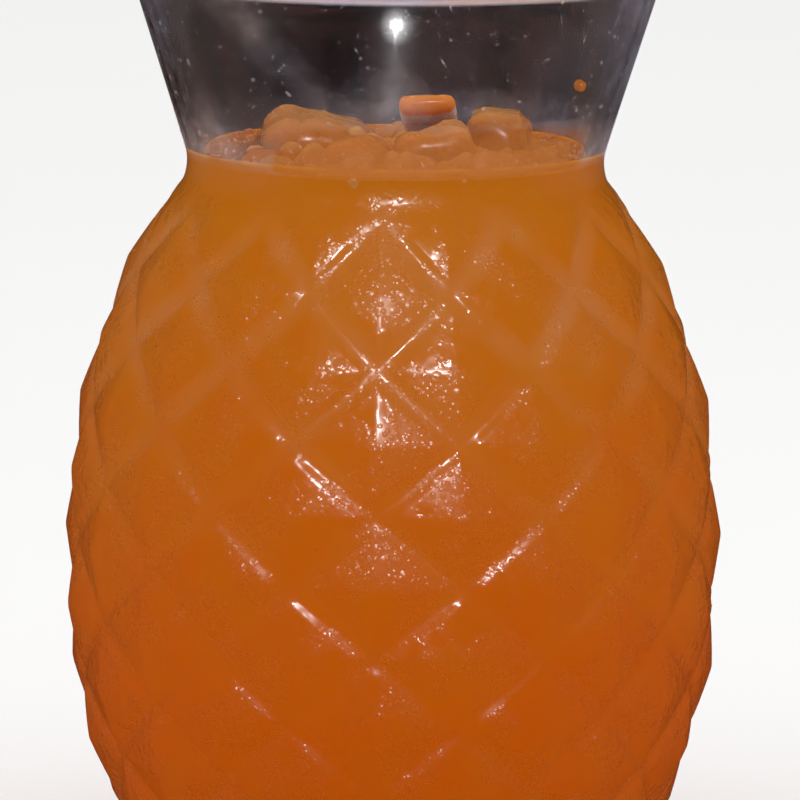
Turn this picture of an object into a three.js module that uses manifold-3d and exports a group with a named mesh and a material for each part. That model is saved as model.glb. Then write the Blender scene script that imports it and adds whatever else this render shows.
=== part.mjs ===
// An orange passion fruit fizz in a pineapple-shaped tumbler of clear pressed glass. The cloudy
// drink fills the tumbler to just above its neck, and lumps of ice break its surface.
// Millimetres, +Z up. The origin is at the centre of the foot and -Y is the front.
import * as THREE from 'three';
import { RoundedBoxGeometry } from 'three/addons/geometries/RoundedBoxGeometry.js';
import { mergeVertices } from 'three/addons/utils/BufferGeometryUtils.js';
import Module from 'manifold-3d';

// Driving dimensions of the tumbler
const HEIGHT = 133;
const GIRTH_RADIUS = 47; // over the widest diamonds
const GIRTH_HEIGHT = 50;
const BARREL_DROP = 14.5; // how far the barrel has drawn in at each of the next two distances
const BARREL_REACH_UP = 52.4;
const BARREL_REACH_DOWN = 48.5;
const BARREL_POWER = 2.35;
const BARREL_WALL = 4.2; // from the tips of the diamonds to the smooth inside
const NECK_RADIUS = 29.5;
const NECK_HEIGHT = 106.9;
const NECK_FILLET = 7.7;
const COLLAR_SLOPE = 0.3155; // how much the radius grows for each millimetre of height
const COLLAR_WALL = 2.8;
const FLOOR_HEIGHT = 9.5;
const FLOOR_RADIUS = 24;
const BOWL_HEIGHT = 10.5; // of the rounded corner between floor and wall
const BOWL_TOP = FLOOR_HEIGHT + BOWL_HEIGHT;
const FOOT_RADIUS = 29.4;
const FOOT_ROUND = 1.5; // of the foot's outer edge
const RECESS_RADIUS = 22; // of the shallow hollow under the foot
const RECESS_ROUND = 2;
const RECESS_DEPTH = 1.6;

// Driving dimensions of the diamonds, pyramids parted by sunk grooves
const COLUMNS = 12; // diamonds round one row, with the next row half a diamond on
const ROWS = 10; // half rows from the neck to the foot
const TOP_ROW_HEIGHT = 102.4;
const ROW_STEP = 9.7;
const LATTICE_TURN = THREE.MathUtils.degToRad(-3);
const PYRAMID_RISE = 1.1;
const GROOVE_DEPTH = 0.7;
const PYRAMID_SHARE = 0.78; // of the way from a diamond's centre to its corner
const GROOVE_SHARE = 0.93; // where the groove's floor starts
const BAND_SINK = 0.7; // how far the flat half diamonds lie below the tips of the whole ones
const SHOULDER_HEIGHT = TOP_ROW_HEIGHT + 1.8; // where the smooth neck starts

// Driving dimensions of the contents
const DRINK_LEVEL = 108.5;
const GAP = 0.3; // between pieces that touch

// Every round section has five points for each diamond, as the edge of the lattice has
const POINTS_PER_COLUMN = 5;
const RING_POINTS = COLUMNS * POINTS_PER_COLUMN;
const COLUMN_ANGLE = Math.PI / COLUMNS; // from a diamond's centre to its side corner

const wasm = await Module();
wasm.setup();

const object = new THREE.Group();

function addPiece(name, geometry, material) {
  const piece = new THREE.Mesh(geometry, material);
  piece.name = name;
  object.add(piece);
  return piece;
}

// Radius of the barrel over the tips of its diamonds
function barrelRadius(height) {
  const reach = height > GIRTH_HEIGHT ? BARREL_REACH_UP : BARREL_REACH_DOWN;
  const share = Math.abs(height - GIRTH_HEIGHT) / reach;
  return GIRTH_RADIUS - BARREL_DROP * share ** BARREL_POWER;
}

// Outer radius of the smooth part: an arc round the neck that runs on as the straight collar
function collarRadius(height) {
  const above = height - NECK_HEIGHT;
  const tangentHeight = NECK_FILLET * Math.sin(Math.atan(COLLAR_SLOPE));
  const arcHeight = Math.min(above, tangentHeight);
  const arc = NECK_FILLET - Math.sqrt(NECK_FILLET ** 2 - arcHeight ** 2);
  return NECK_RADIUS + arc + COLLAR_SLOPE * Math.max(above - tangentHeight, 0);
}

// Heights from one level to another, both included
function heights(from, to, steps) {
  return Array.from({ length: steps + 1 }, (_, i) => from + ((to - from) * i) / steps);
}

// Profile points [radius, height] of the smooth inside, from the lip down to the floor
function insideProfile(lipHeight) {
  const collar = heights(lipHeight, NECK_HEIGHT, 3);
  const barrel = heights(TOP_ROW_HEIGHT - 1, BOWL_TOP, 9);
  const bowlReach = barrelRadius(BOWL_TOP) - BARREL_WALL - FLOOR_RADIUS;
  const bowl = [1, 2, 3, 4].map((i) => {
    const angle = (i * Math.PI) / 8;
    return [FLOOR_RADIUS + bowlReach * Math.cos(angle), BOWL_TOP - BOWL_HEIGHT * Math.sin(angle)];
  });
  return [
    ...[...collar, SHOULDER_HEIGHT].map((height) => [collarRadius(height) - COLLAR_WALL, height]),
    ...barrel.map((height) => [barrelRadius(height) - BARREL_WALL, height]),
    ...bowl,
  ];
}

// A point at an angle from the front, on a circle of this radius
function pointAt(angle, radius, height) {
  return [radius * Math.sin(angle), -radius * Math.cos(angle), height];
}

// A surface that grows triangle by triangle, each turned so that its face points out
class Surface {
  constructor() {
    this.positions = [];
  }

  triangle(a, b, c) {
    this.positions.push(...a, ...b, ...c);
  }

  quad(a, b, c, d) {
    this.triangle(a, b, c);
    this.triangle(a, c, d);
  }

  // Joins two rings, the second one further along the profile
  bridge(first, second) {
    first.forEach((point, i) => {
      const next = (i + 1) % first.length;
      this.quad(point, first[next], second[next], second[i]);
    });
  }

  // Closes a ring with a fan round a point on the axis
  fan(ring, height, faceUp) {
    ring.forEach((point, i) => {
      const next = ring[(i + 1) % ring.length];
      this.triangle([0, 0, height], faceUp ? point : next, faceUp ? next : point);
    });
  }

  geometry() {
    const geometry = new THREE.BufferGeometry();
    geometry.setAttribute('position', new THREE.Float32BufferAttribute(this.positions, 3));
    const merged = mergeVertices(geometry, 1e-3);
    merged.computeVertexNormals();
    return merged;
  }
}

function ring(radius, height) {
  const step = (2 * Math.PI) / RING_POINTS;
  const first = LATTICE_TURN - COLUMN_ANGLE - 2 * step;
  return Array.from({ length: RING_POINTS }, (_, i) => pointAt(first + i * step, radius, height));
}

// The diamonds. Column and row numbers count half diamonds, so a whole diamond's centre is where
// their sum is odd, and the grooves cross where it is even. Directions run N, W, S, E.
const DIRECTIONS = [[0, -1], [-1, 0], [0, 1], [1, 0]];

function latticePoint(column, row, drop) {
  const height = TOP_ROW_HEIGHT - row * ROW_STEP;
  const angle = LATTICE_TURN + column * COLUMN_ANGLE;
  return pointAt(angle, barrelRadius(height) - drop, height);
}

function cornerOf(column, row, direction, share, drop) {
  const [across, down] = DIRECTIONS[direction % 4];
  return latticePoint(column + across * share, row + down * share, drop);
}

function innerCorner(column, row, direction) {
  return cornerOf(column, row, direction, PYRAMID_SHARE, PYRAMID_RISE);
}

function grooveCorner(column, row, direction) {
  return cornerOf(column, row, direction, GROOVE_SHARE, PYRAMID_RISE + GROOVE_DEPTH);
}

function isEdgeRow(row) {
  return row === 0 || row === ROWS;
}

function tip(column, row) {
  return latticePoint(column, row, isEdgeRow(row) ? BAND_SINK : 0);
}

// The quarters of a diamond that lie between the first and last rows
function quartersOf(row) {
  if (row === 0) return [1, 2];
  if (row === ROWS) return [3, 0];
  return [0, 1, 2, 3];
}

function addDiamond(surface, column, row) {
  for (const quarter of quartersOf(row)) {
    const near = innerCorner(column, row, quarter);
    const far = innerCorner(column, row, quarter + 1);
    surface.triangle(tip(column, row), near, far);
    surface.quad(near, grooveCorner(column, row, quarter), grooveCorner(column, row, quarter + 1), far);
  }
}

// The small floor where grooves cross, and the two grooves that run down from it
function addGrooves(surface, column, row) {
  const above = row > 0 ? [grooveCorner(column, row - 1, 2)] : [];
  const below = row < ROWS ? [grooveCorner(column, row + 1, 0)] : [];
  const left = grooveCorner(column - 1, row, 3);
  const right = grooveCorner(column + 1, row, 1);
  const floor = [...above, left, ...below, right];
  for (let i = 2; i < floor.length; i += 1) surface.triangle(floor[0], floor[i - 1], floor[i]);
  if (row === ROWS) return;
  surface.quad(
    grooveCorner(column + 1, row, 2), right, below[0], grooveCorner(column, row + 1, 3));
  surface.quad(
    left, grooveCorner(column - 1, row, 2), grooveCorner(column, row + 1, 1), below[0]);
}

// The edge of the lattice along its first or last row, five points for each diamond
function latticeEdge(row) {
  const edge = [];
  for (let column = -1; column < 2 * COLUMNS - 1; column += 2) {
    edge.push(
      grooveCorner(column, row, 1), innerCorner(column, row, 1), tip(column, row),
      innerCorner(column, row, 3), grooveCorner(column, row, 3));
  }
  return edge;
}

function glassGeometry() {
  const surface = new Surface();
  const lastRowHeight = TOP_ROW_HEIGHT - ROWS * ROW_STEP;
  const foot = [
    [RECESS_RADIUS - RECESS_ROUND, RECESS_DEPTH],
    [RECESS_RADIUS, 0],
    [FOOT_RADIUS, 0],
    [FOOT_RADIUS + FOOT_ROUND, FOOT_ROUND / 2],
    [FOOT_RADIUS + 2 * FOOT_ROUND, lastRowHeight - FOOT_ROUND],
  ].map(([radius, height]) => ring(radius, height));
  surface.fan(foot[0], RECESS_DEPTH, false);
  for (let i = 1; i < foot.length; i += 1) surface.bridge(foot[i - 1], foot[i]);
  surface.bridge(foot.at(-1), latticeEdge(ROWS));

  for (let row = 0; row <= ROWS; row += 1) {
    for (let column = 0; column < 2 * COLUMNS; column += 1) {
      const add = (column + row) % 2 ? addDiamond : addGrooves;
      add(surface, column, row);
    }
  }

  // Neck and collar, the round lip, then the inside
  const lip = COLLAR_WALL / 2;
  const lipHeight = HEIGHT - lip;
  const outside = [
    ...heights(SHOULDER_HEIGHT, 2 * NECK_HEIGHT - SHOULDER_HEIGHT, 4),
    ...heights((NECK_HEIGHT + lipHeight) / 2, lipHeight, 1),
  ].map((height) => ring(collarRadius(height), height));
  const lipCentre = collarRadius(lipHeight) - lip;
  const lipRings = [1, 2, 3, 4, 5].map((i) => {
    const angle = (i * Math.PI) / 6;
    return ring(lipCentre + lip * Math.cos(angle), lipHeight + lip * Math.sin(angle));
  });
  const inside = insideProfile(lipHeight).map(([radius, height]) => ring(radius, height));
  const rings = [latticeEdge(0), ...outside, ...lipRings, ...inside];
  for (let i = 1; i < rings.length; i += 1) surface.bridge(rings[i - 1], rings[i]);
  surface.fan(rings.at(-1), FLOOR_HEIGHT, true);
  return surface.geometry();
}

// The drink is the tumbler's inside up to its level, clear of the glass all over
function drinkGeometry() {
  const surface = new Surface();
  const topRadius = collarRadius(DRINK_LEVEL) - COLLAR_WALL;
  const wall = insideProfile(HEIGHT).filter(([, height]) => height < DRINK_LEVEL - 1);
  const profile = [[topRadius, DRINK_LEVEL], ...wall].reverse();
  const rings = profile.map(([radius, height]) => {
    const lift = height < BOWL_TOP ? GAP : 0;
    return ring(radius - GAP, height + lift);
  });
  surface.fan(rings[0], FLOOR_HEIGHT + GAP, false);
  for (let i = 1; i < rings.length; i += 1) surface.bridge(rings[i - 1], rings[i]);
  surface.fan(rings.at(-1), DRINK_LEVEL, true);
  return surface.geometry();
}

// Lumps of ice: each is a melted block, with its size across, deep and high, the place of its
// centre, its turn about X, Y and Z in degrees, and its rounding.
const ICE = [
  { name: 'ice_left', size: [17, 17, 20], centre: [-11.7, 2.5, 103.3], turn: [3, 10, 8], round: 4.2 },
  { name: 'ice_front', size: [8.6, 9.5, 14], centre: [-5, -16.3, 105.2], turn: [-4, -5, -12], round: 2.8 },
  { name: 'ice_middle', size: [11.2, 10, 14], centre: [5.8, -12.2, 106.7], turn: [2, -11, 5], round: 2.8 },
  { name: 'ice_right', size: [9, 13, 20], centre: [14.3, 1.6, 104.6], turn: [0, 3, -5], round: 3 },
  { name: 'ice_sliver', size: [7.8, 16, 2.7], centre: [4.9, 5.2, 112.2], turn: [-27, -3, -3], round: 1.3 },
];
const MELT_DEPTH = 0.35; // how far melting has worn the faces in and out
const MELT_WAVE = 15; // between one worn place and the next
const ROUND_STEPS = 2;

// A rounded block round the origin, worn uneven by melting
function iceGeometry({ size, centre, round }, grow) {
  const [across, deep, high] = size.map((side) => side + 2 * grow);
  const geometry = new RoundedBoxGeometry(across, deep, high, ROUND_STEPS, round + grow);
  geometry.deleteAttribute('normal');
  geometry.deleteAttribute('uv');
  const block = mergeVertices(geometry, 1e-3);
  const depth = MELT_DEPTH * Math.min(1, (2 * Math.min(...size)) / MELT_WAVE);
  const turns = (2 * Math.PI) / MELT_WAVE;
  const position = block.getAttribute('position');
  const point = new THREE.Vector3();
  for (let i = 0; i < position.count; i += 1) {
    point.fromBufferAttribute(position, i);
    const worn = Math.sin(turns * point.x + centre[0]) * Math.cos(turns * (point.y + point.z) + centre[1]);
    point.setLength(point.length() + depth * worn);
    position.setXYZ(i, point.x, point.y, point.z);
  }
  return block;
}

function toSolid(geometry) {
  return new wasm.Manifold(new wasm.Mesh({
    numProp: 3,
    vertProperties: geometry.getAttribute('position').array,
    triVerts: geometry.index.array,
  }));
}

function toGeometry(solid) {
  const mesh = solid.getMesh();
  const geometry = new THREE.BufferGeometry();
  geometry.setAttribute('position', new THREE.BufferAttribute(mesh.vertProperties, 3));
  geometry.setIndex(new THREE.BufferAttribute(mesh.triVerts, 1));
  geometry.computeVertexNormals();
  return geometry;
}

const glassMaterial = new THREE.MeshStandardMaterial({
  color: 0xe4e8e6, roughness: 0.05, metalness: 0, transparent: true, opacity: 0.3,
});
const drinkMaterial = new THREE.MeshStandardMaterial({ color: 0xb5600c, roughness: 0.25, metalness: 0 });
const iceMaterial = new THREE.MeshStandardMaterial({ color: 0xc98a4e, roughness: 0.15, metalness: 0 });

addPiece('glass', glassGeometry(), glassMaterial);

let drink = toSolid(drinkGeometry());
for (const lump of ICE) {
  const piece = addPiece(lump.name, iceGeometry(lump, 0), iceMaterial.clone());
  piece.position.set(...lump.centre);
  piece.rotation.set(...lump.turn.map(THREE.MathUtils.degToRad), 'YXZ');
  piece.updateMatrixWorld();
  drink = drink.subtract(toSolid(iceGeometry(lump, GAP).applyMatrix4(piece.matrixWorld)));
}
addPiece('drink', toGeometry(drink), drinkMaterial);

export default object;
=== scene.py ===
"""An orange passion fruit fizz in a pineapple-shaped tumbler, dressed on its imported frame."""

import math
import random

import bmesh
import bpy
from bpy.props import FloatProperty, FloatVectorProperty, IntProperty, PointerProperty
from mathutils import Matrix, Vector, noise
from mathutils.bvhtree import BVHTree


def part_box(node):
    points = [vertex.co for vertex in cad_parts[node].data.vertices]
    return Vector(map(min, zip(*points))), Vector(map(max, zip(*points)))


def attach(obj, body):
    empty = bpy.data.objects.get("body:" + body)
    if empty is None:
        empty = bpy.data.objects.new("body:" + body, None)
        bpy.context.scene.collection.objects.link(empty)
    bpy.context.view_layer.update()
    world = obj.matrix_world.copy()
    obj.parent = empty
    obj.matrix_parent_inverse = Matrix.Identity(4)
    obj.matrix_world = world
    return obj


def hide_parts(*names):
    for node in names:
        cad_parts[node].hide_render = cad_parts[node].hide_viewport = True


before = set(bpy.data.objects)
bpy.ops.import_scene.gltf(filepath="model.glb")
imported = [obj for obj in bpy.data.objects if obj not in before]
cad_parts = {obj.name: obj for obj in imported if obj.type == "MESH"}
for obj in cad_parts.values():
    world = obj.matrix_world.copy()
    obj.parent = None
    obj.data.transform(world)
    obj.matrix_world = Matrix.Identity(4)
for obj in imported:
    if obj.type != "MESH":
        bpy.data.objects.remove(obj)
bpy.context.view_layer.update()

bl_info = {
    "name": "Passion Fruit Fizz",
    "version": (1, 0, 0),
    "blender": (4, 5, 0),
    "location": "3D View > Sidebar > Fizz",
    "description": "Models a pineapple-shaped tumbler filled with an orange fizz and ice",
    "category": "Add Mesh",
}

MM = 0.001
BODY = "root"

# Highest corners read off the frame, in millimetres
GLASS_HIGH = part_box("glass")[1] / MM
DRINK_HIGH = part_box("drink")[1] / MM

# The tumbler's outline, in millimetres: a barrel that draws in from its girth, a neck and a collar
GIRTH_RADIUS = 47.0
GIRTH_HEIGHT = 50.0
BARREL_DROP = 14.5
BARREL_REACH_UP = 52.4
BARREL_REACH_DOWN = 48.5
BARREL_POWER = 2.35
BARREL_WALL = 4.2
NECK_RADIUS = 29.5
NECK_HEIGHT = 106.9
NECK_FILLET = 7.7
NECK_END = NECK_HEIGHT + 4     # where the straight collar's rings begin
COLLAR_SLOPE = 0.3155
LIP_ROUNDING = 0.7
LIP_HEIGHT = GLASS_HIGH.z - LIP_ROUNDING     # where the lip's rounding begins
FLOOR_HEIGHT = 9.5
FLOOR_RADIUS = 24.0
FLOOR_RINGS = (18, 12, 6)
BOWL_HEIGHT = 10.5
BOWL_TOP = FLOOR_HEIGHT + BOWL_HEIGHT
BOWL_RINGS = 8
FOOT_PROFILE = (     # radius and height, from the end of the relief to the hollow under the foot
    (32.9, 3.9), (32.2, 2.6), (31.4, 1.4), (30.6, 0.5), (29.4, 0), (26, 0), (22, 0),
    (21.6, 0.3), (21, 1.1), (20, 1.6), (14, 1.6), (8, 1.6), (3, 1.6))

# The diamonds: half columns and half rows run from one groove crossing to the next
COLUMNS = 12
HALF_ROWS = 10
TOP_ROW_HEIGHT = 102.4
ROW_STEP = 9.7
LATTICE_TURN = math.radians(-3)
COLUMN_ANGLE = math.pi / COLUMNS
SHEET_DEPTH = 0.6        # millimetres inside the tips, where the flat sheet has its true width
COLUMN_STEP = COLUMN_ANGLE * (GIRTH_RADIUS - SHEET_DEPTH)
GROOVE_INSET = 0.07      # shares of a diamond's inradius that the groove's floor and its side take up
STEP_INSET = 0.15
TOP_EDGE = -0.17         # rows where the relief has run out into the shoulder and the foot
BOTTOM_EDGE = 9.9
TOP_FULL = 0.5           # rows between which it stands out in full
BOTTOM_FULL = HALF_ROWS - 0.45
SEAM_MERGE = 0.004       # millimetres
SMOOTH_SINK = 1.2        # of the plain surface that the relief runs out into, below the tips
SHOULDER_HEIGHT = TOP_ROW_HEIGHT + 1.8
SMOOTH_HEIGHT = 108.5    # above it the glass is plain and smooth

# The drink's surface, in millimetres
MENISCUS_RINGS = (0.25, 0.5, 0.8, 1.2, 1.7, 2.3, 3.0)     # in from the edge
MENISCUS_WIDTH = 0.9
SURFACE_MARGIN = 0.01    # what lies this little below the level still belongs to the surface
SWELL_RISE = 0.35
SWELL_SIZE = 5
ICE_CLIMB = 0.9          # how far the drink climbs the ice, and over what width
ICE_CLIMB_WIDTH = 0.8

# Ice: size across, deep and high, centre, turn about X, Y and Z in degrees, rounding
ICE_LUMPS = {
    "ice_left": ((17, 17, 20), (-11.7, 2.5, 103.3), (3, 10, 8), 4.2),
    "ice_front": ((8.6, 9.5, 14), (-5, -16.3, 105.2), (-4, -5, -12), 2.8),
    "ice_middle": ((11.2, 10, 14), (5.8, -12.2, 106.7), (2, -11, 5), 2.8),
    "ice_right": ((9, 13, 20), (14.3, 1.6, 104.6), (0, 3, -5), 3),
}
ICE_SLIVER = ((7.8, 16, 2.7), (4.9, 5.2, 112.2), (-27, -3, -3), 1.3)
LONGEST_ICE_EDGE = 1.6
MELT_SIZE = 6            # millimetres over which melting wears the ice
CRUMB_SIZES = (2.4, 6.0)
CRUMB_MARGIN = 2.4       # how far the crumbs keep from the glass
CRUMB_HEAP = 1.1         # how much higher they lie in the middle
CRUMB_CLUSTER = (0.35, 0.75)     # middle and spread of the angle at which most of them float
CRUMB_ARC = (1.2, 4.4)           # least and greatest angle of the others

# Mist, drops and bubbles
MIST_THICKNESS = 0.08            # millimetres
COLLAR_MIST_LIFT = 0.06          # millimetres, which keep the mist clear of the glass's own facets
RELIEF_MIST_LIFT = 0.14
DROP_HEIGHTS = (8, 124)
SPLASH = (0.945, 120.1, 0.9)     # angle, height and radius of the drop at the right of the collar
BEADED_SPOT = (0.0003, 0.0320, 0.1238)     # metres, where the collar's far wall shows the flash
# The slanting streak of breath: a place X, Z on it, its lean and half its width, in metres
BREATH_STREAK = ((-0.0161, 0.1245), -1.0, 0.0045)
BREATH_PATCHES = (     # middle and radius in metres, and thickness
    ((-0.0014, -0.0330, 0.1175), 0.0070, 0.12),
    ((0.0250, -0.0220, 0.1230), 0.0110, 0.02),
    ((-0.0255, -0.0165, 0.1120), 0.0085, 0.12),
)

# Heights in metres between which the finishes change
RELIEF_TO_SMOOTH = (0.100, 0.108)
SPLASHED_TO_CLEAR = (0.1100, 0.1155)
SPLASH_START = (0.1076, 0.1084)
BREATH_START = (0.1085, 0.1100)
SPECKS_START = (0.1090, 0.1105)
# The ice's paler tops, partly frost and partly a painted highlight, begin between these heights
FROST_AND_HIGHLIGHT_ON_LUMPS = (0.1118, 0.1145)
FROST_AND_HIGHLIGHT_ON_CRUMBS = (0.1092, 0.1115)
FOAM_TO_SPLASH = (0.1150, 0.1170)

# Stage, in metres
NEAR_FLOOR_SIDE = 0.12     # floor that shows through the glass
FLASH_SIZE = 0.003
FLASH_PLACE = (0.01, -0.74, 0.5583)
SOFT_LIGHT_SIDE = 0.8
ROOM_RADIUS = 3.0
GLASS_MIDDLE = (0, 0, 0.07)
CAMERA_PLACE = (0, -0.8, 0.2055)
CAMERA_TARGET = (0.00093, 0, 0.0724)
CAMERA_ROLL = math.radians(0.49)


# Settings that a user would change

class GlassSettings(bpy.types.PropertyGroup):
    """The pressed glass tumbler."""
    wall: FloatProperty(
        name="Collar wall", description="Thickness of the collar's wall",
        default=2.8 * MM, subtype="DISTANCE", unit="LENGTH")
    pyramid_rise: FloatProperty(
        name="Pyramid rise", description="How far the tip of a diamond stands above its edges",
        default=1.1 * MM, subtype="DISTANCE", unit="LENGTH")
    groove_depth: FloatProperty(
        name="Groove depth", description="How far the grooves lie below the diamonds' edges",
        default=0.7 * MM, subtype="DISTANCE", unit="LENGTH")
    softness: FloatProperty(
        name="Softness", description="Width of the rounding along the pressed edges",
        default=0.42 * MM, subtype="DISTANCE", unit="LENGTH")
    tint: FloatVectorProperty(
        name="Tint", description="Colour of light that has gone through the glass",
        default=(0.90, 0.89, 0.90), subtype="COLOR")


class DrinkSettings(bpy.types.PropertyGroup):
    """The cloudy drink."""
    level: FloatProperty(
        name="Level", description="Height of the drink's surface",
        default=DRINK_HIGH.z * MM, subtype="DISTANCE", unit="LENGTH")
    wall_overlap: FloatProperty(
        name="Wall overlap", description="How far the drink reaches into the glass, so that no gap shows",
        default=0.15 * MM, subtype="DISTANCE", unit="LENGTH")
    meniscus_rise: FloatProperty(
        name="Meniscus", description="How far the drink climbs up the glass",
        default=0.7 * MM, subtype="DISTANCE", unit="LENGTH")
    deep_colour: FloatVectorProperty(
        name="Deep colour", description="Colour of the drink low in the glass",
        default=(0.48, 0.079, 0.0), subtype="COLOR")
    pale_colour: FloatVectorProperty(
        name="Pale colour", description="Colour of the foamier drink under the surface",
        default=(0.445, 0.124, 0.002), subtype="COLOR")


class IceSettings(bpy.types.PropertyGroup):
    """The ice that breaks the surface."""
    melt: FloatProperty(
        name="Melt", description="How uneven melting has left the faces",
        default=0.8 * MM, subtype="DISTANCE", unit="LENGTH")
    colour: FloatVectorProperty(
        name="Colour", description="Colour of the ice, soaked in the drink",
        default=(0.56, 0.180, 0.016), subtype="COLOR")
    # The paler top colour is partly frost and partly a painted highlight.
    frost_and_highlight_colour: FloatVectorProperty(
        name="Frost colour", description="Colour of the drier tops of the ice",
        default=(0.84, 0.49, 0.23), subtype="COLOR")
    crumb_count: IntProperty(
        name="Crumbs", description="Number of small crumbs of ice between the lumps", default=110)


class DropSettings(bpy.types.PropertyGroup):
    """Bubbles of fizz and drops of condensation."""
    bubble_count: IntProperty(
        name="Bubbles", description="Number of bubbles that float at the surface", default=260)
    clinging_count: IntProperty(
        name="Clinging bubbles", description="Number of bubbles on the glass above the drink", default=70)
    drop_count: IntProperty(
        name="Drops", description="Number of drops on the outside of the glass", default=500)


class StageSettings(bpy.types.PropertyGroup):
    """Floor, light and camera."""
    floor_side: FloatProperty(
        name="Floor", description="Side of the square floor",
        default=12.0, subtype="DISTANCE", unit="LENGTH")
    flash_power: FloatProperty(
        name="Flash", description="Power of the small light above the camera, in watts", default=3.1)
    soft_power: FloatProperty(
        name="Soft light", description="Power of each large soft light, in watts", default=2.0)
    lens: FloatProperty(
        name="Lens", description="Focal length of the camera", default=256.0, subtype="DISTANCE_CAMERA")


# Building blocks

def make_object(bm, name, materials):
    """An object made of a bmesh, which is used up."""
    mesh = bpy.data.meshes.new(name)
    bm.to_mesh(mesh)
    bm.free()
    for material in materials:
        mesh.materials.append(material)
    made = bpy.data.objects.new(name, mesh)
    bpy.context.scene.collection.objects.link(made)
    return made


def finish_piece(bm, name, materials, replaced=()):
    """Makes a piece of the object from a bmesh in millimetres."""
    bmesh.ops.scale(bm, vec=(MM, MM, MM), verts=bm.verts[:])
    piece = make_object(bm, name, materials)
    piece.data.shade_smooth()
    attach(piece, BODY)
    if replaced:
        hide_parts(*replaced)
    return piece


def join(whole, part):
    """Adds a bmesh to another and uses it up."""
    mesh = bpy.data.meshes.new("part")
    part.to_mesh(mesh)
    part.free()
    whole.from_mesh(mesh)
    bpy.data.meshes.remove(mesh)


def let_light_through(piece):
    """Lets shadow rays and scattered light pass straight through a clear piece."""
    piece.visible_shadow = False
    piece.visible_diffuse = False


def smoothstep(low, high, value):
    share = min(max((value - low) / (high - low), 0.0), 1.0)
    return share * share * (3 - 2 * share)


def steps(start, end, count):
    """Values from start to end, without start."""
    return [start + (end - start) * i / count for i in range(1, count + 1)]


def barrel_radius(height):
    """Radius over the tips of the diamonds."""
    reach = BARREL_REACH_UP if height > GIRTH_HEIGHT else BARREL_REACH_DOWN
    return GIRTH_RADIUS - BARREL_DROP * (abs(height - GIRTH_HEIGHT) / reach) ** BARREL_POWER


def collar_radius(height):
    """Outer radius of the smooth neck, an arc that runs on as the straight collar."""
    above = height - NECK_HEIGHT
    tangent_height = NECK_FILLET * math.sin(math.atan(COLLAR_SLOPE))
    arc_height = min(above, tangent_height)
    arc = NECK_FILLET - math.sqrt(NECK_FILLET ** 2 - arc_height ** 2)
    return NECK_RADIUS + arc + COLLAR_SLOPE * max(above - tangent_height, 0.0)


def smooth_radius(height):
    """Outer radius of the plain surface that the relief runs out into."""
    barrel = barrel_radius(height) - SMOOTH_SINK
    if height < TOP_ROW_HEIGHT:
        return barrel
    share = smoothstep(TOP_ROW_HEIGHT, SHOULDER_HEIGHT, height)
    return barrel + (collar_radius(height) - barrel) * share


def inner_radius(height, collar_wall):
    """Radius of the smooth inside above the bowl."""
    collar = collar_radius(max(height, SHOULDER_HEIGHT)) - collar_wall
    barrel = barrel_radius(min(height, TOP_ROW_HEIGHT)) - BARREL_WALL
    return barrel + (collar - barrel) * smoothstep(TOP_ROW_HEIGHT - 1, SHOULDER_HEIGHT, height)


def bowl_profile():
    """Radius and height along the rounded corner from the wall down to the floor."""
    reach = barrel_radius(BOWL_TOP) - BARREL_WALL - FLOOR_RADIUS
    angles = steps(0.0, math.pi / 2, BOWL_RINGS)
    return [(FLOOR_RADIUS + reach * math.cos(a), BOWL_TOP - BOWL_HEIGHT * math.sin(a)) for a in angles]


def way_out(angle):
    """The level way out from the axis at an angle round it, 0 to the front."""
    return Vector((math.sin(angle), -math.cos(angle), 0))


def turn_matrix(turn):
    """The matrix of a turn about Z, then X, then Y, given in degrees about X, Y and Z."""
    about_x, about_y, about_z = (math.radians(angle) for angle in turn)
    turned = Matrix.Rotation(about_y, 3, "Y") @ Matrix.Rotation(about_x, 3, "X")
    return turned @ Matrix.Rotation(about_z, 3, "Z")


def lump(size, centre, turn, rounding, melt, seed):
    """A bmesh of a block of ice, rounded and worn by melting."""
    bm = bmesh.new()
    bmesh.ops.create_cube(bm, size=1.0)
    bmesh.ops.scale(bm, vec=size, verts=bm.verts[:])
    bmesh.ops.bevel(
        bm, geom=bm.edges[:], affect="EDGES", offset=rounding, segments=4, profile=0.5, material=-1)
    for _ in range(2):
        long_edges = [edge for edge in bm.edges if edge.calc_length() > LONGEST_ICE_EDGE]
        bmesh.ops.subdivide_edges(bm, edges=long_edges, cuts=1, use_grid_fill=True)
    bmesh.ops.triangulate(bm, faces=[face for face in bm.faces if len(face.verts) > 4])
    bmesh.ops.smooth_vert(
        bm, verts=bm.verts[:], factor=0.5, use_axis_x=True, use_axis_y=True, use_axis_z=True)
    bm.normal_update()
    offset = Vector((seed * 7.3, seed * 3.1, seed * 5.7))
    pushes = [noise.fractal(vert.co / MELT_SIZE + offset, 1.0, 2.0, 3) * melt for vert in bm.verts]
    for vert, push in zip(bm.verts[:], pushes):
        vert.co += vert.normal * push
    bmesh.ops.rotate(bm, matrix=turn_matrix(turn), cent=(0, 0, 0), verts=bm.verts[:])
    bmesh.ops.translate(bm, vec=centre, verts=bm.verts[:])
    bmesh.ops.recalc_face_normals(bm, faces=bm.faces[:])
    return bm


# The tumbler

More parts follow.
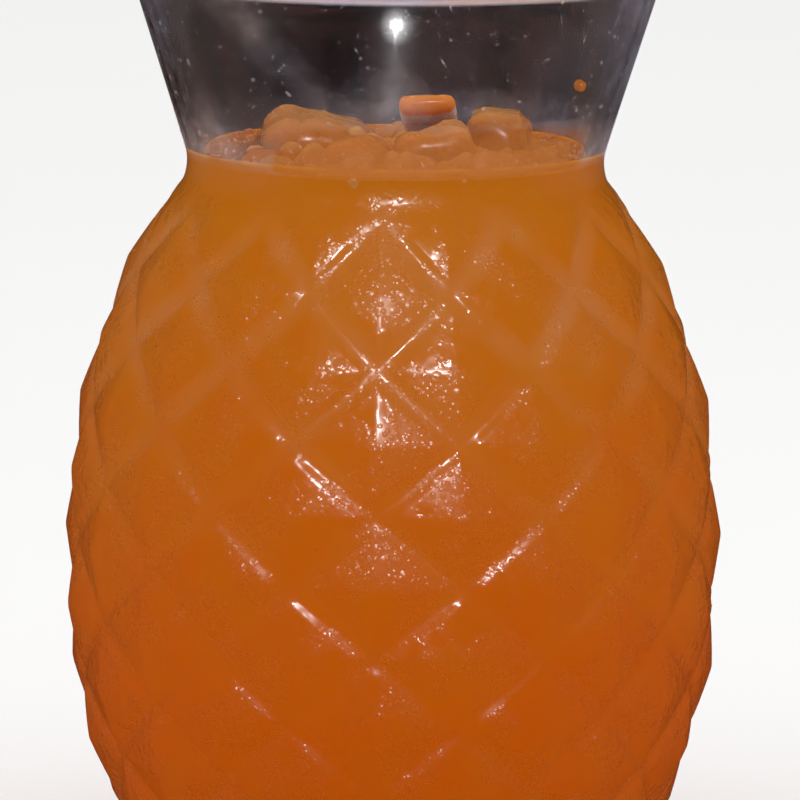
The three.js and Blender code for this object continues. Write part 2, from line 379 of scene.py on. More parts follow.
def relief_sheet(settings, segments, slices):
    """The flat sheet of diamonds, in millimetres: x runs round the barrel, y up it and z out of it."""
    pyramid_rise = settings.pyramid_rise / MM
    groove_depth = settings.groove_depth / MM
    softness = settings.softness / MM
    bm = bmesh.new()
    # Turned by an eighth and stretched, each square of the grid is a diamond
    cells = 2 * (COLUMNS // 2 + HALF_ROWS // 2) + COLUMNS - 1
    bmesh.ops.create_grid(bm, x_segments=cells, y_segments=cells, size=cells / math.sqrt(2))
    bmesh.ops.rotate(bm, matrix=Matrix.Rotation(math.pi / 4, 3, "Z"), cent=(0, 0, 0), verts=bm.verts[:])
    bmesh.ops.scale(bm, vec=(COLUMN_STEP, ROW_STEP, 1), verts=bm.verts[:])
    bmesh.ops.translate(bm, vec=(0, 0, -pyramid_rise - groove_depth), verts=bm.verts[:])

    # The strip that goes once round, with a spare row above and below
    half_width, half_height = COLUMNS * COLUMN_STEP, (HALF_ROWS / 2 + 1) * ROW_STEP
    reach_across = half_width + COLUMN_STEP * 1.01
    reach_up = half_height + ROW_STEP * 1.01
    middles = [(face, face.calc_center_median()) for face in bm.faces]
    far = [face for face, middle in middles if abs(middle.x) > reach_across or abs(middle.y) > reach_up]
    bmesh.ops.delete(bm, geom=far, context="FACES")

    # Each diamond is set in by half a groove, stepped up and drawn out to a tip
    inradius = COLUMN_STEP * ROW_STEP / math.hypot(COLUMN_STEP, ROW_STEP)
    diamonds = bm.faces[:]
    bmesh.ops.inset_individual(bm, faces=diamonds, thickness=GROOVE_INSET * inradius, use_even_offset=True)
    toes = {edge for face in diamonds for edge in face.edges}
    bmesh.ops.inset_individual(
        bm, faces=diamonds, thickness=STEP_INSET * inradius, depth=groove_depth, use_even_offset=True)
    edges = {edge for face in diamonds for edge in face.edges}
    tips = bmesh.ops.poke(bm, faces=diamonds, offset=pyramid_rise)["verts"]
    ridges = {edge for tip in tips for edge in tip.link_edges}
    bmesh.ops.bevel(
        bm, geom=list(toes | edges | ridges), affect="EDGES", offset=softness, segments=segments,
        profile=0.5, material=-1, clamp_overlap=True)
    trim_sheet(bm, half_width, slices)
    return bm


def trim_sheet(bm, half_width, slices):
    """Trims the sheet to its four sides, and slices it finely enough to be wrapped."""
    def cut(place, normal, outside=False):
        bmesh.ops.bisect_plane(
            bm, geom=bm.verts[:] + bm.edges[:] + bm.faces[:], dist=1e-4,
            plane_co=place, plane_no=normal, clear_outer=outside)

    top = (HALF_ROWS / 2 - TOP_EDGE) * ROW_STEP
    bottom = (HALF_ROWS / 2 - BOTTOM_EDGE) * ROW_STEP
    cut((half_width, 0, 0), (1, 0, 0), outside=True)
    cut((-half_width, 0, 0), (-1, 0, 0), outside=True)
    cut((0, top, 0), (0, 1, 0), outside=True)
    cut((0, bottom, 0), (0, -1, 0), outside=True)
    for i in range(-COLUMNS * slices + 1, COLUMNS * slices):
        cut((i * COLUMN_STEP / slices, 0, 0), (1, 0, 0))
    for i in range(-HALF_ROWS * slices // 2, HALF_ROWS * slices // 2 + 1):
        cut((0, i * ROW_STEP / slices, 0), (0, 1, 0))


def wrap_sheet(bm, lift=0.0):
    """Wraps the sheet round the barrel and closes its seam."""
    for vert in bm.verts:
        row = HALF_ROWS / 2 - vert.co.y / ROW_STEP
        height = TOP_ROW_HEIGHT - row * ROW_STEP
        angle = LATTICE_TURN + vert.co.x / COLUMN_STEP * COLUMN_ANGLE
        shown = smoothstep(TOP_EDGE, TOP_FULL, row) * (1 - smoothstep(BOTTOM_FULL, BOTTOM_EDGE, row))
        proud = barrel_radius(height) + vert.co.z
        radius = smooth_radius(height) + (proud - smooth_radius(height)) * shown
        radius += lift
        vert.co = (radius * math.sin(angle), -radius * math.cos(angle), height)
    bmesh.ops.remove_doubles(bm, verts=bm.verts[:], dist=SEAM_MERGE)


def extrude_rings(bm, ring, profile):
    """Extrudes a closed ring of edges along a profile of radius and height, and returns the last ring."""
    for radius, height in profile:
        made = bmesh.ops.extrude_edge_only(bm, edges=ring)["geom"]
        verts = {item for item in made if isinstance(item, bmesh.types.BMVert)}
        for vert in verts:
            out = vert.co.xy.normalized() * radius
            vert.co = (out.x, out.y, height)
        ring = [
            item for item in made
            if isinstance(item, bmesh.types.BMEdge) and verts.issuperset(item.verts)]
    return ring


def close_ring(bm, ring):
    """Fills a ring with a fan round its middle."""
    face = bmesh.ops.contextual_create(bm, geom=ring)["faces"]
    bmesh.ops.poke(bm, faces=face)


def build_glass(settings):
    bm = relief_sheet(settings, segments=2, slices=4)
    wrap_sheet(bm)
    wall = settings.wall / MM
    open_edges = [edge for edge in bm.edges if len(edge.link_faces) == 1]
    upper = [edge for edge in open_edges if edge.verts[0].co.z > GIRTH_HEIGHT]
    lower = [edge for edge in open_edges if edge.verts[0].co.z < GIRTH_HEIGHT]

    outside = steps(TOP_ROW_HEIGHT - TOP_EDGE * ROW_STEP, NECK_END, 9) + steps(NECK_END, LIP_HEIGHT, 8)
    profile = [(smooth_radius(height), height) for height in outside]
    lip_outside = collar_radius(LIP_HEIGHT)
    corners = ((lip_outside - LIP_ROUNDING, 0), (lip_outside - wall + LIP_ROUNDING, math.pi / 2))
    for centre, start in corners:
        for angle in [start] * (start > 0) + steps(start, start + math.pi / 2, 5):
            profile.append(
                (centre + LIP_ROUNDING * math.cos(angle), LIP_HEIGHT + LIP_ROUNDING * math.sin(angle)))
    inside = steps(LIP_HEIGHT, NECK_END, 8) + steps(NECK_END, BOWL_TOP, 34)
    profile += [(inner_radius(height, wall), height) for height in inside]
    profile += bowl_profile()
    profile += [(radius, FLOOR_HEIGHT) for radius in (*FLOOR_RINGS, 2)]
    close_ring(bm, extrude_rings(bm, upper, profile))
    close_ring(bm, extrude_rings(bm, lower, FOOT_PROFILE))
    bmesh.ops.recalc_face_normals(bm, faces=bm.faces[:])
    for face in bm.faces:
        face.material_index = 1 if face.calc_center_median().z > SMOOTH_HEIGHT else 0
    materials = [glass_material(settings), collar_material(settings)]
    let_light_through(finish_piece(bm, "pressed_tumbler", materials, ["glass"]))


# The drink

def spin_profile(profile, segments):
    """A bmesh of a profile of radius and height, spun once round the axis."""
    bm = bmesh.new()
    verts = [bm.verts.new((0, -radius, height)) for radius, height in profile]
    edges = [bm.edges.new(pair) for pair in zip(verts, verts[1:])]
    bmesh.ops.spin(
        bm, geom=verts + edges, cent=(0, 0, 0), axis=(0, 0, 1), angle=2 * math.pi,
        steps=segments, use_merge=True)
    bmesh.ops.remove_doubles(bm, verts=bm.verts[:], dist=1e-4)
    bmesh.ops.recalc_face_normals(bm, faces=bm.faces[:])
    return bm


def build_drink(settings, glass):
    level = settings.level / MM
    overlap = settings.wall_overlap / MM
    rise = settings.meniscus_rise / MM
    wall = glass.wall / MM
    profile = [(radius, FLOOR_HEIGHT - overlap) for radius in (0, *reversed(FLOOR_RINGS))]
    profile += [(radius + overlap, height - overlap) for radius, height in reversed(bowl_profile())]
    heights = [BOWL_TOP] + steps(BOWL_TOP, level + rise, 48)
    profile += [(inner_radius(height, wall) + overlap, height) for height in heights]
    edge = profile[-1][0]
    inward = [*MENISCUS_RINGS] + steps(MENISCUS_RINGS[-1], edge, 24)
    profile += [(edge - gap, level + rise * math.exp(-gap / MENISCUS_WIDTH)) for gap in inward]
    profile[-1] = (0, level)
    bm = spin_profile(profile, 144)
    for face in bm.faces:
        middle = face.calc_center_median()
        on_top = middle.z > level - SURFACE_MARGIN and middle.xy.length < edge - 0.3
        face.material_index = 1 if on_top else 0
    swell_surface(bm, level, edge)
    materials = [drink_material(settings), surface_material(settings)]
    finish_piece(bm, "cloudy_fizz", materials, ["drink"])


def swell_surface(bm, level, edge):
    """Makes the surface swell a little and climb the ice."""
    lumps = [(Vector(centre), Vector(size)) for size, centre, _, _ in ICE_LUMPS.values()]
    for vert in bm.verts:
        if vert.co.z < level - SURFACE_MARGIN:
            continue
        place = Vector((vert.co.x / SWELL_SIZE, vert.co.y / SWELL_SIZE, 1.7))
        swell = SWELL_RISE * noise.fractal(place, 1.0, 2.0, 3)
        for centre, size in lumps:
            gap_x = max(abs(vert.co.x - centre.x) - size.x / 2, 0)
            gap_y = max(abs(vert.co.y - centre.y) - size.y / 2, 0)
            climb = ICE_CLIMB * math.exp(-math.hypot(gap_x, gap_y) / ICE_CLIMB_WIDTH)
            swell = max(swell, climb)
        vert.co.z += swell * smoothstep(edge, edge - 1.2, vert.co.xy.length)


# Ice

def build_ice(settings):
    material = ice_material(settings)
    melt = settings.melt / MM
    for seed, (node, (size, centre, turn, rounding)) in enumerate(ICE_LUMPS.items(), start=1):
        bm = lump(size, centre, turn, rounding, melt, seed)
        finish_piece(bm, "melting_" + node, [material], [node])


def build_sliver(settings):
    size, centre, turn, rounding = ICE_SLIVER
    bm = lump(size, centre, turn, rounding, settings.melt / MM * 0.5, 9)
    finish_piece(bm, "melting_ice_sliver", [sliver_material(settings)], ["ice_sliver"])


def build_crumbs(settings, glass):
    """Crumbs of ice that float between the lumps and the glass."""
    rng = random.Random(3)
    level = DRINK_HIGH.z
    reach = inner_radius(level, glass.wall / MM) - CRUMB_MARGIN
    crumbs = bmesh.new()
    for seed in range(settings.crumb_count):
        angle = rng.gauss(*CRUMB_CLUSTER) if seed % 3 else rng.uniform(*CRUMB_ARC)
        away = reach * rng.uniform(0.0, 1.0) ** 0.5
        size = [rng.uniform(*CRUMB_SIZES) for _ in range(3)]
        heap = CRUMB_HEAP * smoothstep(0.95, 0.4, away / reach)
        centre = way_out(angle) * away
        centre.z = level - 0.4 * min(size) + heap
        turn = [rng.uniform(0, 180) for _ in range(3)]
        join(crumbs, lump(size, centre, turn, 0.35 * min(size), settings.melt / MM * 0.7, seed + 20))
    finish_piece(crumbs, "ice_crumbs", [crumb_material(settings)])


# Mist, drops and bubbles

def build_mist():
    """The thin film of mist on the neck and the collar."""
    heights = [SHOULDER_HEIGHT] + steps(SHOULDER_HEIGHT, LIP_HEIGHT, 36)
    lip_middle = smooth_radius(LIP_HEIGHT) - LIP_ROUNDING

    def layer(lift):
        """The glass's outside and the outer half of its lip, lifted off."""
        rounding = LIP_ROUNDING + lift
        over = [
            (lip_middle + rounding * math.cos(angle), LIP_HEIGHT + rounding * math.sin(angle))
            for angle in steps(0, math.pi / 2, 5)]
        return [(smooth_radius(height) + lift, height) for height in heights] + over

    inner, outer = layer(COLLAR_MIST_LIFT), layer(COLLAR_MIST_LIFT + MIST_THICKNESS)
    bm = spin_profile(inner + outer[::-1] + inner[:1], 96)
    let_light_through(finish_piece(bm, "collar_mist", [mist_material()]))


def build_relief_mist(settings):
    """The thin film of mist on the diamonds, thickest in the grooves."""
    bm = relief_sheet(settings, segments=1, slices=3)
    wrap_sheet(bm, lift=RELIEF_MIST_LIFT)
    bmesh.ops.recalc_face_normals(bm, faces=bm.faces[:])
    bmesh.ops.solidify(bm, geom=bm.verts[:] + bm.edges[:] + bm.faces[:], thickness=MIST_THICKNESS)
    bmesh.ops.recalc_face_normals(bm, faces=bm.faces[:])
    let_light_through(finish_piece(bm, "relief_mist", [relief_mist_material()]))


def outside_of(piece):
    """A function that finds the outside of a piece at an angle and a height: the place and the way out."""
    tree = BVHTree.FromObject(piece, bpy.context.evaluated_depsgraph_get())

    def find(angle, height):
        out = way_out(angle)
        start = (out * GIRTH_RADIUS * 2 + Vector((0, 0, height))) * MM
        place, normal, _, _ = tree.ray_cast(start, -out)
        return place / MM, normal

    return find


def scatter_beads(places, batch=16):
    """A bmesh with a bead at each place: its centre, the way it bulges, its radius and its flatness."""
    bm = bmesh.new()
    for start in range(0, len(places), batch):
        some = bmesh.new()
        for centre, out, radius, flatness in places[start:start + batch]:
            turn = out.to_track_quat("Z", "Y").to_matrix().to_4x4()
            size = Matrix.Diagonal((radius, radius, radius * flatness, 1))
            bmesh.ops.create_uvsphere(
                some, u_segments=8, v_segments=5, radius=1,
                matrix=Matrix.Translation(centre) @ turn @ size)
        join(bm, some)
    return bm


def build_drops(settings):
    """Beads of condensation on the outside of the tumbler."""
    rng = random.Random(11)
    find = outside_of(bpy.data.objects["pressed_tumbler"])
    places = []
    for _ in range(settings.drop_count):
        angle = rng.uniform(-math.pi, math.pi)
        height = rng.uniform(*DROP_HEIGHTS)
        radius = 0.08 + 0.20 * rng.random() ** 4
        centre, out = find(angle, height)
        places.append((centre, out, radius, 0.4))
    bm = scatter_beads(places)
    let_light_through(finish_piece(bm, "condensation_drops", [water_material()]))


def build_bubbles(settings, drink, glass):
    """Bubbles that float round the edge of the drink, and bubbles and a splash that cling above it."""
    rng = random.Random(5)
    level = drink.level / MM
    edge = inner_radius(level, glass.wall / MM)
    upward = Vector((0, 0, 1))
    places = []
    for _ in range(settings.bubble_count):
        angle = rng.uniform(-math.pi, math.pi)
        radius = rng.uniform(0.10, 0.32)
        away = edge - radius - abs(rng.gauss(0, 1.6))
        height = level + 0.15 + 0.9 * math.exp(-(edge - away) / MENISCUS_WIDTH)
        places.append((way_out(angle) * away + upward * height, upward, radius, 0.9))
    clinging = [SPLASH]
    for _ in range(settings.clinging_count):
        angle = rng.gauss(0, 0.9)
        height = level + abs(rng.gauss(0, 1.6))
        clinging.append((angle, height, rng.uniform(0.10, 0.26)))
    for angle, height, radius in clinging:
        out = way_out(angle)
        away = inner_radius(height, glass.wall / MM) - 0.5 * radius
        places.append((out * away + upward * height, out, radius, 0.8))
    bm = scatter_beads(places)
    finish_piece(bm, "fizz_bubbles", [bubble_material(drink)])


# Building blocks of materials

def start_material(name, values):
    """A new material, its tree and its Principled shader, with the values that are the same all over."""
    material = bpy.data.materials.new(name)
    material.use_nodes = True
    tree = material.node_tree
    tree.nodes.clear()
    output = tree.nodes.new("ShaderNodeOutputMaterial")
    shader = tree.nodes.new("ShaderNodeBsdfPrincipled")
    tree.links.new(shader.outputs["BSDF"], output.inputs["Surface"])
    for socket, value in values.items():
        shader.inputs[socket].default_value = value
    return material, tree, shader


def object_place(tree):
    """The socket that gives the place on the piece."""
    return tree.nodes.new("ShaderNodeTexCoord").outputs["Object"]


def place_group(tree, group, vector, **values):
    node = tree.nodes.new("ShaderNodeGroup")
    node.node_tree = group
    tree.links.new(vector, node.inputs["Place"])
    for name, value in values.items():
        node.inputs[name.capitalize()].default_value = value
    return node


def add_noise(tree, vector, scale, detail=3.0, roughness=0.5):
    node = tree.nodes.new("ShaderNodeTexNoise")
    node.inputs["Scale"].default_value = scale
    node.inputs["Detail"].default_value = detail
    node.inputs["Roughness"].default_value = roughness
    tree.links.new(vector, node.inputs["Vector"])
    return node.outputs["Fac"]


def add_range(tree, value, from_low, from_high, to_low, to_high):
    node = tree.nodes.new("ShaderNodeMapRange")
    numbers = {"From Min": from_low, "From Max": from_high, "To Min": to_low, "To Max": to_high}
    for name, number in numbers.items():
        node.inputs[name].default_value = number
    tree.links.new(value, node.inputs["Value"])
    return node.outputs["Result"]


def add_mix(tree, factor, first, second):
    """A colour between two, each a socket or a colour."""
    node = tree.nodes.new("ShaderNodeMix")
    node.data_type = "RGBA"
    tree.links.new(factor, node.inputs["Factor"])
    for name, value in (("A", first), ("B", second)):
        socket = next(s for s in node.inputs if s.name == name and s.type == "RGBA")
        if isinstance(value, bpy.types.NodeSocket):
            tree.links.new(value, socket)
        else:
            socket.default_value = (*value, 1)
    return next(s for s in node.outputs if s.type == "RGBA")


def add_math(tree, operation, first, *others):
    """The outcome of an operation on two or more values, one after another, each a socket or a number."""
    for other in others:
        node = tree.nodes.new("ShaderNodeMath")
        node.operation = operation
        for socket, value in zip(node.inputs, (first, other)):
            if isinstance(value, bpy.types.NodeSocket):
                tree.links.new(value, socket)
            else:
                socket.default_value = value
        first = node.outputs["Value"]
    return first


def add_vector_math(tree, operation, vector, fixed):
    """The outcome of an operation on a vector's socket and a fixed vector."""
    node = tree.nodes.new("ShaderNodeVectorMath")
    node.operation = operation
    tree.links.new(vector, node.inputs[0])
    node.inputs[1].default_value = fixed
    return node.outputs["Value" if operation in ("DISTANCE", "DOT_PRODUCT") else "Vector"]


def add_bump(tree, shader, height, strength, distance):
    node = tree.nodes.new("ShaderNodeBump")
    node.inputs["Strength"].default_value = strength
    node.inputs["Distance"].default_value = distance
    tree.links.new(height, node.inputs["Height"])
    tree.links.new(node.outputs["Normal"], shader.inputs["Normal"])


def add_axes(tree, vector):
    """The sockets that give the place's X, Y and Z on the piece, in metres."""
    node = tree.nodes.new("ShaderNodeSeparateXYZ")
    tree.links.new(vector, node.inputs["Vector"])
    return node.outputs["X"], node.outputs["Y"], node.outputs["Z"]


def start_group(name, scale, *outputs):
    """A new node group that reads a place, with its first and last node."""
    group = bpy.data.node_groups.new(name, "ShaderNodeTree")
    group.interface.new_socket("Place", in_out="INPUT", socket_type="NodeSocketVector")
    if scale:
        socket = group.interface.new_socket("Scale", in_out="INPUT", socket_type="NodeSocketFloat")
        socket.default_value = scale
    for output in outputs:
        group.interface.new_socket(output, in_out="OUTPUT", socket_type="NodeSocketFloat")
    return group, group.nodes.new("NodeGroupInput"), group.nodes.new("NodeGroupOutput")


def beading_group():
    """Beads of condensation of two sizes that gather in patches."""
    if "Beading" in bpy.data.node_groups:
        return bpy.data.node_groups["Beading"]
    group, start, end = start_group("Beading", 900, "Height", "Mist")
    place = start.outputs["Place"]
    domes = []
    for share, tallness in ((1.0, 1.0), (0.45, 2.0)):
        cells = group.nodes.new("ShaderNodeTexVoronoi")
        group.links.new(place, cells.inputs["Vector"])
        group.links.new(
            add_math(group, "MULTIPLY", start.outputs["Scale"], share), cells.inputs["Scale"])
        domes.append(add_range(group, cells.outputs["Distance"], 0.05, 0.5, tallness, 0.0))
    patches = add_range(group, add_noise(group, place, 120, 4, 0.6), 0.42, 0.55, 0.0, 1.0)
    beads = add_math(group, "MULTIPLY", add_math(group, "ADD", *domes), patches)
    group.links.new(beads, end.inputs["Height"])
    group.links.new(patches, end.inputs["Mist"])
    return group


def cloud_group():
    """Soft clouding, as of pulp or frozen air."""
    if "Clouding" in bpy.data.node_groups:
        return bpy.data.node_groups["Clouding"]
    group, start, end = start_group("Clouding", 60, "Cloud")
    place = start.outputs["Place"]
    broad = add_math(group, "MULTIPLY", add_noise(group, place, 40, 3), 0.6)
    fine_place = group.nodes.new("ShaderNodeVectorMath")
    fine_place.operation = "SCALE"
    group.links.new(place, fine_place.inputs[0])
    group.links.new(start.outputs["Scale"], fine_place.inputs["Scale"])
    fine = add_math(group, "MULTIPLY", add_noise(group, fine_place.outputs["Vector"], 3.0, 5, 0.6), 0.4)
    cloud = add_range(group, add_math(group, "ADD", broad, fine), 0.35, 0.65, 0.0, 1.0)
    group.links.new(cloud, end.inputs["Cloud"])
    return group


def lattice_group():
    """How near a place is to the grooves: 0 at the tip of a diamond, 1 in the middle of a groove."""
    if "Lattice" in bpy.data.node_groups:
        return bpy.data.node_groups["Lattice"]
    group, start, end = start_group("Lattice", None, "Groove")
    across, back, height = add_axes(group, start.outputs["Place"])
    angle = add_math(group, "ARCTAN2", across, add_math(group, "MULTIPLY", back, -1))
    column = add_math(group, "DIVIDE", add_math(group, "SUBTRACT", angle, LATTICE_TURN), COLUMN_ANGLE)
    below = add_math(group, "SUBTRACT", height, TOP_ROW_HEIGHT * MM)
    row = add_math(group, "ADD", add_math(group, "DIVIDE", below, ROW_STEP * MM), HALF_ROWS / 2)
    rising = add_math(group, "PINGPONG", add_math(group, "ADD", column, row), 1)
    falling = add_math(group, "PINGPONG", add_math(group, "SUBTRACT", column, row), 1)
    group.links.new(add_math(group, "MAXIMUM", rising, falling), end.inputs["Groove"])
    return group


def add_cloud(tree, place, scale):
    return place_group(tree, cloud_group(), place, scale=scale).outputs["Cloud"]


# Materials of the glass and its mist

def start_glass(name, settings, coat_roughness):
    """A clear glass material, whose coat stands for a veil of mist that pales under a strong light."""
    return start_material(name, {
        "Base Color": (*settings.tint, 1),
        "Transmission Weight": 1,
        "Metallic": 0,
        "IOR": 1.5,
        "Coat IOR": 1.5,
        "Coat Roughness": coat_roughness,
    })


def glass_material(settings):
    """Pressed glass, wavy and misted over its relief."""
    material, tree, shader = start_glass("Misted pressed glass", settings, 0.5)
    place = object_place(tree)
    _, _, height = add_axes(tree, place)
    pressed = add_range(tree, height, *RELIEF_TO_SMOOTH, 1.0, 0.06)
    beading = place_group(tree, beading_group(), place, scale=1100)
    mist = add_math(tree, "MULTIPLY", beading.outputs["Mist"], pressed)
    tree.links.new(add_range(tree, mist, 0, 1, 0.20, 0.28), shader.inputs["Roughness"])
    ripples = add_math(tree, "MULTIPLY", add_noise(tree, place, 420, 1), 0.22)
    waves = add_math(tree, "ADD", add_noise(tree, place, 70, 2), ripples)
    beads = add_math(tree, "MULTIPLY", beading.outputs["Height"], 0.27)
    relief = add_math(tree, "MULTIPLY", add_math(tree, "ADD", beads, waves), pressed)
    add_bump(tree, shader, relief, 0.7, 0.0006)
    veil = add_math(tree, "MULTIPLY", add_range(tree, beading.outputs["Mist"], 0, 1, 0.03, 0.68), pressed)
    tree.links.new(veil, shader.inputs["Coat Weight"])
    return material


def collar_material(settings):
    """Smooth glass, lightly misted, with finer beading where the flash shows on the far wall."""
    material, tree, shader = start_glass("Smooth collar glass", settings, 0.25)
    place = object_place(tree)
    _, _, height = add_axes(tree, place)
    away = add_vector_math(tree, "DISTANCE", place, BEADED_SPOT)
    spot = add_range(tree, away, 0.0009, 0.0020, 1, 0)
    tree.links.new(add_range(tree, spot, 0, 1, 0.01, 0.15), shader.inputs["Roughness"])
    beading = place_group(tree, beading_group(), place, scale=1800)
    beads = add_math(tree, "MULTIPLY", spot, beading.outputs["Height"])
    add_bump(tree, shader, beads, 0.5, 0.00003)
    veil = add_range(tree, add_cloud(tree, place, 160), 0, 1, 0.005, 0.10)
    glow = add_range(tree, away, 0.0004, 0.0042, 0.9, 0)
    lip = add_range(tree, height, LIP_HEIGHT * MM - 0.0006, LIP_HEIGHT * MM, 0, 0.9)
    tree.links.new(add_math(tree, "MAXIMUM", veil, glow, lip), shader.inputs["Coat Weight"])
    return material


def start_mist(name, colours):
    """A thin film of fine mist, to be filled in, with the place on it and its uneven colour."""
    material, tree, shader = start_material(name, {"Roughness": 0.7, "Metallic": 0})
    place = object_place(tree)
    hue = add_range(tree, add_noise(tree, place, 45, 2), 0.40, 0.60, 0, 1)
    return material, tree, shader, place, add_mix(tree, hue, *colours)


def add_breath(tree, place):
    """Fainter mist breathed on the collar: a slanting streak, patches and both sides."""
    across, back, height = add_axes(tree, place)
    start, lean, width = BREATH_STREAK
    rise = add_math(tree, "SUBTRACT", height, start[1])
    line = add_math(tree, "ADD", add_math(tree, "MULTIPLY", rise, lean), start[0])
    off_line = add_math(tree, "ABSOLUTE", add_math(tree, "SUBTRACT", across, line), 0)
    streak = add_range(tree, off_line, 0, width, 0.055, 0)
    breath = add_math(tree, "MULTIPLY", streak, add_range(tree, back, -0.015, -0.024, 0, 1))
    for middle, radius, thickness in BREATH_PATCHES:
        away = add_vector_math(tree, "DISTANCE", place, middle)
        breath = add_math(tree, "ADD", breath, add_range(tree, away, radius, 0, 0, thickness))
    sides = add_range(tree, add_math(tree, "ABSOLUTE", across, 0), 0.028, 0.033, 0, 0.035)
    above = add_range(tree, height, *BREATH_START, 0, 1)
    return add_math(tree, "MULTIPLY", add_math(tree, "ADD", breath, sides), above)


def add_splashes(tree, place, front):
    """Orange splashes on the front, just above the drink."""
    _, _, height = add_axes(tree, place)
    below = add_range(tree, height, *SPLASHED_TO_CLEAR, 1, 0)
    above = add_range(tree, height, *SPLASH_START, 0, 1)
    uneven = add_range(tree, add_noise(tree, place, 260, 3), 0.35, 0.6, 0.6, 1)
    return add_math(tree, "MULTIPLY", front, below, above, uneven)


def mist_material():
    """Patchy mist, thickest low on the collar and to the right, with specks and splashes of drink, and
    thicker over the lip, where it also paints the lip's pale sheen.
    """
    material, tree, shader, place, grey = start_mist(
        "Mist on the collar", ((0.60, 0.45, 0.40), (0.48, 0.46, 0.57)))
    across, back, height = add_axes(tree, place)
    low = add_range(tree, height, 0.109, 0.1145, 0.085, 0.010)
    for low_end, high_end, share in ((0.1035, 0.1065, 0.0), (0.1075, 0.109, 0.12)):
        low = add_math(tree, "MULTIPLY", low, add_range(tree, height, low_end, high_end, share, 1))
    near = add_range(tree, back, -0.014, -0.024, 0, 1)
    front = add_math(tree, "MULTIPLY", near, add_range(tree, across, -0.018, -0.011, 0, 1))
    low = add_math(tree, "MULTIPLY", low, add_range(tree, front, 0, 1, 1, 0.08))
    rightward = add_range(tree, across, -0.005, 0.022, 1.0, 2.2)
    cloud = add_math(tree, "POWER", add_cloud(tree, place, 110), 1.6)
    patches = add_range(tree, cloud, 0, 1, 0.25, 2.0)
    film = add_math(tree, "MULTIPLY", low, rightward, patches)
    specks = add_range(tree, add_noise(tree, place, 1000, 1), 0.71, 0.79, 0, 0.30)
    specks = add_math(tree, "MULTIPLY", specks, add_range(tree, height, *SPECKS_START, 0, 1))
    splashed = add_splashes(tree, place, front)
    orange = add_range(tree, splashed, 0, 0.2, 0, 1)
    tree.links.new(add_mix(tree, orange, grey, (0.48, 0.138, 0.012)), shader.inputs["Base Color"])
    lip = LIP_HEIGHT * MM
    # Thicker mist over the lip, which also paints the pale sheen of the lip's reflection.
    lip_mist_and_sheen = add_range(tree, height, lip - 0.0002, lip + 0.0002, 0, 0.35)
    breath = add_math(tree, "MULTIPLY", add_breath(tree, place), patches)
    splashed = add_math(tree, "MULTIPLY", splashed, 0.56)
    tree.links.new(add_math(tree, "ADD", film, specks, lip_mist_and_sheen, breath, splashed), shader.inputs["Alpha"])
    return material


def relief_mist_material():
    """Mist that gathers in the grooves and in patches, more of it high on the barrel."""
    material, tree, shader, place, grey = start_mist(
        "Mist on the relief", ((0.52, 0.45, 0.28), (0.49, 0.47, 0.37)))
    _, _, height = add_axes(tree, place)
    lattice = place_group(tree, lattice_group(), place)
    grooves = add_range(tree, lattice.outputs["Groove"], 0.66, 0.88, 0, 0.018)
    patches = add_range(tree, add_cloud(tree, place, 70), 0.45, 0.95, 0, 0.010)
    uneven = add_range(tree, add_noise(tree, place, 90, 3), 0.36, 0.62, 0.25, 1.4)
    film = add_math(tree, "MULTIPLY", add_math(tree, "ADD", grooves, patches), uneven)
    higher = add_range(tree, height, 0.040, 0.085, 0.04, 1)
    shown = add_math(tree, "MULTIPLY", higher, add_range(tree, height, 0.099, 0.1035, 1, 0.4))
    greyer = add_range(tree, height, 0.058, 0.088, 0, 1)
    tree.links.new(add_mix(tree, greyer, (0.50, 0.34, 0.05), grey), shader.inputs["Base Color"])
    tree.links.new(add_math(tree, "MULTIPLY", film, shown), shader.inputs["Alpha"])
    return material


def water_material():
    material, tree, shader = start_material("Clear water", {
        "Base Color": (0.98, 0.98, 0.98, 1),
        "Transmission Weight": 1,
        "Metallic": 0,
        "IOR": 1.33,
    })
    uneven = add_noise(tree, object_place(tree), 400)
    tree.links.new(add_range(tree, uneven, 0, 1, 0.0, 0.08), shader.inputs["Roughness"])
    return material


# Materials of the drink and the ice

def drink_colour(tree, settings, place):
    """Deep orange low in the glass, paler under the surface, with faint clouds."""
    _, _, height = add_axes(tree, place)
    paler = add_range(tree, height, 0.035, 0.106, 0.0, 1.0)
    clouds = add_range(tree, add_cloud(tree, place, 55), 0, 1, -0.16, 0.16)
    mottled = add_math(tree, "ADD", paler, clouds)
    return add_mix(tree, mottled, settings.deep_colour[:], settings.pale_colour[:])


def drink_material(settings):
    """The cloudy drink, with a painted brighter orange line where its thin edge climbs the glass, standing
    in for the light that the edge lets through.
    """
    material, tree, shader = start_material("Cloudy orange drink", {
        "Roughness": 0.5,
        "IOR": 1.34,
        "Specular IOR Level": 0.05,
        "Metallic": 0,
    })
    place = object_place(tree)
    _, _, height = add_axes(tree, place)
    base = drink_colour(tree, settings, place)
    # Painted light: a brighter orange line at the very top of the edge, broken by noise, stands in for
    # light gathered in the thin meniscus.
    edge = add_range(tree, height, settings.level, settings.level + 0.0005, 0, 1)
    painted_glow_breaks = add_range(tree, add_noise(tree, place, 130, 2), 0.40, 0.55, 0.15, 1)
    line = add_math(tree, "MULTIPLY", edge, painted_glow_breaks)
    tree.links.new(add_mix(tree, line, base, (0.66, 0.24, 0.02)), shader.inputs["Base Color"])
    return material


def surface_material(settings):
    material, tree, shader = start_material("Surface of the drink", {
        "Roughness": 0.08,
        "IOR": 1.34,
        "Metallic": 0,
    })
    place = object_place(tree)
    tree.links.new(drink_colour(tree, settings, place), shader.inputs["Base Color"])
    add_bump(tree, shader, add_noise(tree, place, 300, 2), 0.2, 0.0003)
    return material


